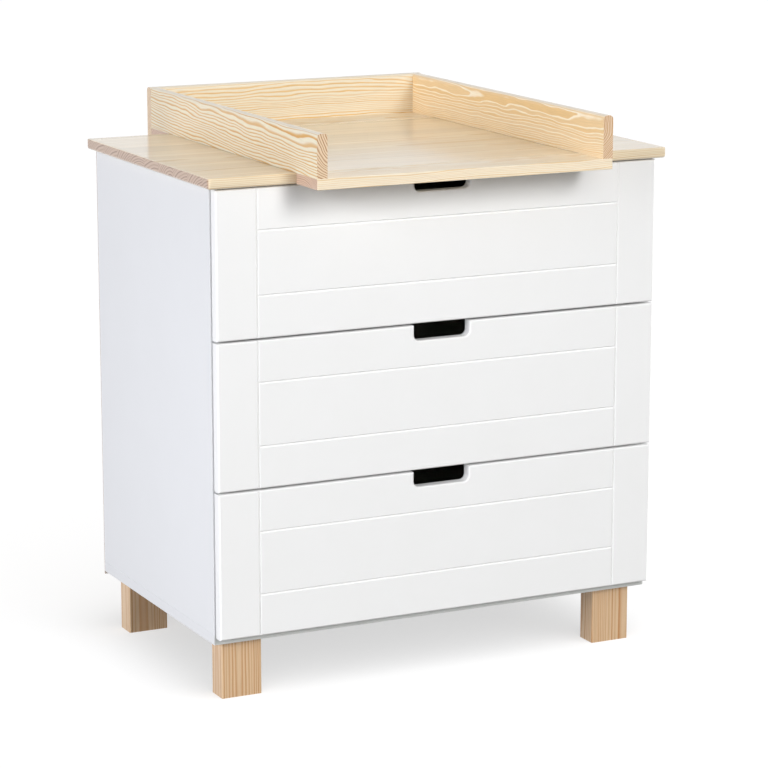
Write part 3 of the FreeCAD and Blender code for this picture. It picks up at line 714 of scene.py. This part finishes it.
def moved(tree, mesh, height):
    """Shift a mesh along Z by a height socket."""
    shift = add(tree, "ShaderNodeCombineXYZ", {"Z": height})
    return add(tree, "GeometryNodeTransform", {"Geometry": mesh, "Translation": shift})


FASTENER_SIZES = ("Head Radius", "Neck Radius", "Head Height", "Shank Radius", "Length", "Point", "Recess",
                  "Pitch")
print("a fastener has", len(FASTENER_SIZES), "sizes")

# %% Head, shank and thread
# Proportions: the recess's length in its widths, the shank's threaded share, and the ridge in shank radii.
RECESS_SPAN = 2.6
THREADED_SHARE = 0.7
RIDGE_SHARE = 0.22
HEAD_SIDES = 20
SHANK_SIDES = 12


def recessed_head(tree, size):
    """A cone or disc with a cross cut into its top: two bars as deep as the recess is wide."""
    down = add(tree, "ShaderNodeMath", {0: size["Head Height"], 1: -1.0}, operation="MULTIPLY")
    head_links = {"Vertices": HEAD_SIDES, "Radius Top": size["Head Radius"],
                  "Radius Bottom": size["Neck Radius"], "Depth": size["Head Height"]}
    head = moved(tree, add(tree, "GeometryNodeMeshCone", head_links), down)
    span = add(tree, "ShaderNodeMath", {0: size["Recess"], 1: RECESS_SPAN}, operation="MULTIPLY")
    bar_size = add(tree, "ShaderNodeCombineXYZ", {"X": span, "Y": size["Recess"], "Z": size["Recess"]})
    bar = add(tree, "GeometryNodeMeshCube", {"Size": bar_size})
    quarter = (0, 0, math.pi / 2)
    crossbar = add(tree, "GeometryNodeTransform", {"Geometry": bar, "Rotation": quarter})
    cross = add(tree, "GeometryNodeMeshBoolean", {"Mesh 2": bar}, operation="UNION", solver="EXACT")
    tree.links.new(crossbar, cross.node.inputs["Mesh 2"])
    cut_links = {"Mesh 1": head, "Mesh 2": cross}
    return add(tree, "GeometryNodeMeshBoolean", cut_links, operation="DIFFERENCE", solver="EXACT")


def pointed_shank(tree, size):
    """A shank from the head down to a cone. Returns the two meshes, the shank's length and its lower end."""
    straight = add(tree, "ShaderNodeMath", {0: size["Length"], 1: size["Head Height"]}, operation="SUBTRACT")
    straight = add(tree, "ShaderNodeMath", {0: straight, 1: size["Point"]}, operation="SUBTRACT")
    low_end = add(tree, "ShaderNodeMath", {0: size["Point"], 1: size["Length"]}, operation="SUBTRACT")
    shank_links = {"Vertices": SHANK_SIDES, "Radius Top": size["Shank Radius"],
                   "Radius Bottom": size["Shank Radius"], "Depth": straight}
    shank = moved(tree, add(tree, "GeometryNodeMeshCone", shank_links), low_end)
    lowest = add(tree, "ShaderNodeMath", {0: size["Length"], 1: -1.0}, operation="MULTIPLY")
    point_links = {"Vertices": SHANK_SIDES, "Radius Top": size["Shank Radius"], "Radius Bottom": 0.0,
                   "Depth": size["Point"]}
    point = moved(tree, add(tree, "GeometryNodeMeshCone", point_links), lowest)
    return shank, point, straight, low_end


def thread(tree, size, straight, low_end):
    """A three-sided ridge swept along a spiral up the lower part of the shank."""
    rise = add(tree, "ShaderNodeMath", {0: straight, 1: THREADED_SHARE}, operation="MULTIPLY")
    turns = add(tree, "ShaderNodeMath", {0: rise, 1: size["Pitch"]}, operation="DIVIDE")
    spiral_links = {"Resolution": 10, "Rotations": turns, "Start Radius": size["Shank Radius"],
                    "End Radius": size["Shank Radius"], "Height": rise}
    spiral = add(tree, "GeometryNodeCurveSpiral", spiral_links)
    ridge_size = add(tree, "ShaderNodeMath", {0: size["Shank Radius"], 1: RIDGE_SHARE}, operation="MULTIPLY")
    ridge = add(tree, "GeometryNodeCurvePrimitiveCircle", {"Resolution": 3, "Radius": ridge_size})
    swept_links = {"Curve": spiral, "Profile Curve": ridge, "Fill Caps": True}
    return moved(tree, add(tree, "GeometryNodeCurveToMesh", swept_links), low_end)


print("heads have", HEAD_SIDES, "sides and shanks", SHANK_SIDES)

# %% A tree that grows fasteners on points
SPIN_SEED = 4


def fastener_tree():
    """The whole tree: one fastener on each point, head outwards, turned by chance as a driver leaves it."""
    tree, size = new_tree("fasteners_on_points", FASTENER_SIZES)
    head = recessed_head(tree, size)
    shank, point, straight, low_end = pointed_shank(tree, size)
    joined = add(tree, "GeometryNodeJoinGeometry", {"Geometry": thread(tree, size, straight, low_end)})
    for piece in (point, shank, head):
        tree.links.new(piece, joined.node.inputs["Geometry"])
    outward = add(tree, "GeometryNodeInputNamedAttribute", {"Name": "outward"}, data_type="FLOAT_VECTOR")
    aim = add(tree, "FunctionNodeAlignRotationToVector", {"Vector": outward}, axis="Z")
    copies_links = {"Points": size["Geometry"], "Instance": joined, "Rotation": aim}
    copies = add(tree, "GeometryNodeInstanceOnPoints", copies_links)
    spin_links = {"Max": math.tau, "Seed": SPIN_SEED}
    spin = add(tree, "FunctionNodeRandomValue", spin_links, "Value", data_type="FLOAT")
    spin = add(tree, "ShaderNodeCombineXYZ", {"Z": spin})
    copies = add(tree, "GeometryNodeRotateInstances", {"Instances": copies, "Rotation": spin})
    finish_tree(tree, size, copies)
    return tree


fasteners = fastener_tree()
print("fastener tree has", len(fasteners.nodes), "nodes")

# %% [markdown]
# Growing a piece means hanging the tree on a mesh of bare points, setting the inputs by their identifiers,
# and keeping the evaluated result as a plain mesh. The modifier goes before the piece joins its body.


# %% Grow the fasteners
def grow(name, tree, points, outward, inputs):
    """Run a tree on points and return the finished object, with a plain mesh."""
    seeds = bpy.data.meshes.new(name + "_points")
    seeds.from_pydata(points, [], [])
    attribute = seeds.attributes.new("outward", "FLOAT_VECTOR", "POINT")
    attribute.data.foreach_set("vector", [c for way in outward for c in way])
    piece = bpy.data.objects.new(name, seeds)
    bpy.context.scene.collection.objects.link(piece)
    modifier = piece.modifiers.new("grow", "NODES")
    modifier.node_group = tree
    for item in tree.interface.items_tree:
        if item.in_out == "INPUT" and item.name in inputs:
            modifier[item.identifier] = inputs[item.name]
    evaluated = piece.evaluated_get(bpy.context.evaluated_depsgraph_get())
    mesh = bpy.data.meshes.new_from_object(evaluated)
    piece.modifiers.remove(modifier)
    piece.data = mesh
    return piece


# Sizes in millimetres, in the order of FASTENER_SIZES. A nail has next to no recess and no turn of thread.
FASTENER_KINDS = {
    "wood screw": (4.6, 2.2, 2.4, 2.0, 50, 6, 1.5, 2.0),
    "short screw": (3.8, 1.9, 2.0, 1.7, 30, 4, 1.3, 1.8),
    "board screw": (4.8, 3.2, 3.0, 2.9, 50, 4, 1.6, 3.0),
    "pan screw": (3.2, 3.2, 1.6, 1.5, 13, 3, 1.1, 1.4),
    "nail": (2.0, 2.0, 0.7, 0.7, 21, 2, 0.1, 40),
}
fastener_groups = [
    ("foot_screws", "wood screw", "carcass"),
    ("side_screws", "board screw", "carcass"),
    ("top_screws", "short screw", "carcass"),
    ("runner_screws", "pan screw", "carcass"),
    ("back_nails", "nail", "carcass"),
    ("tray_screws", "wood screw", "changing_tray"),
]
for drawer in DRAWERS:
    fastener_groups.append((drawer + "_drawer_rail_screws", "pan screw", drawer + "_drawer"))

for group, kind, body in fastener_groups:
    spots = fastener_spots(group)
    inputs = {label: mm * MM for label, mm in zip(FASTENER_SIZES, FASTENER_KINDS[kind])}
    inputs["Material"] = screw_steel
    places = [place for place, outward in spots]
    ways_out = [outward for place, outward in spots]
    piece = grow(group + "_detailed", fasteners, places, ways_out, inputs)
    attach(piece, body)
    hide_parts(group)
    print(group, "grown at", len(spots), "places with", len(piece.data.polygons), "faces")
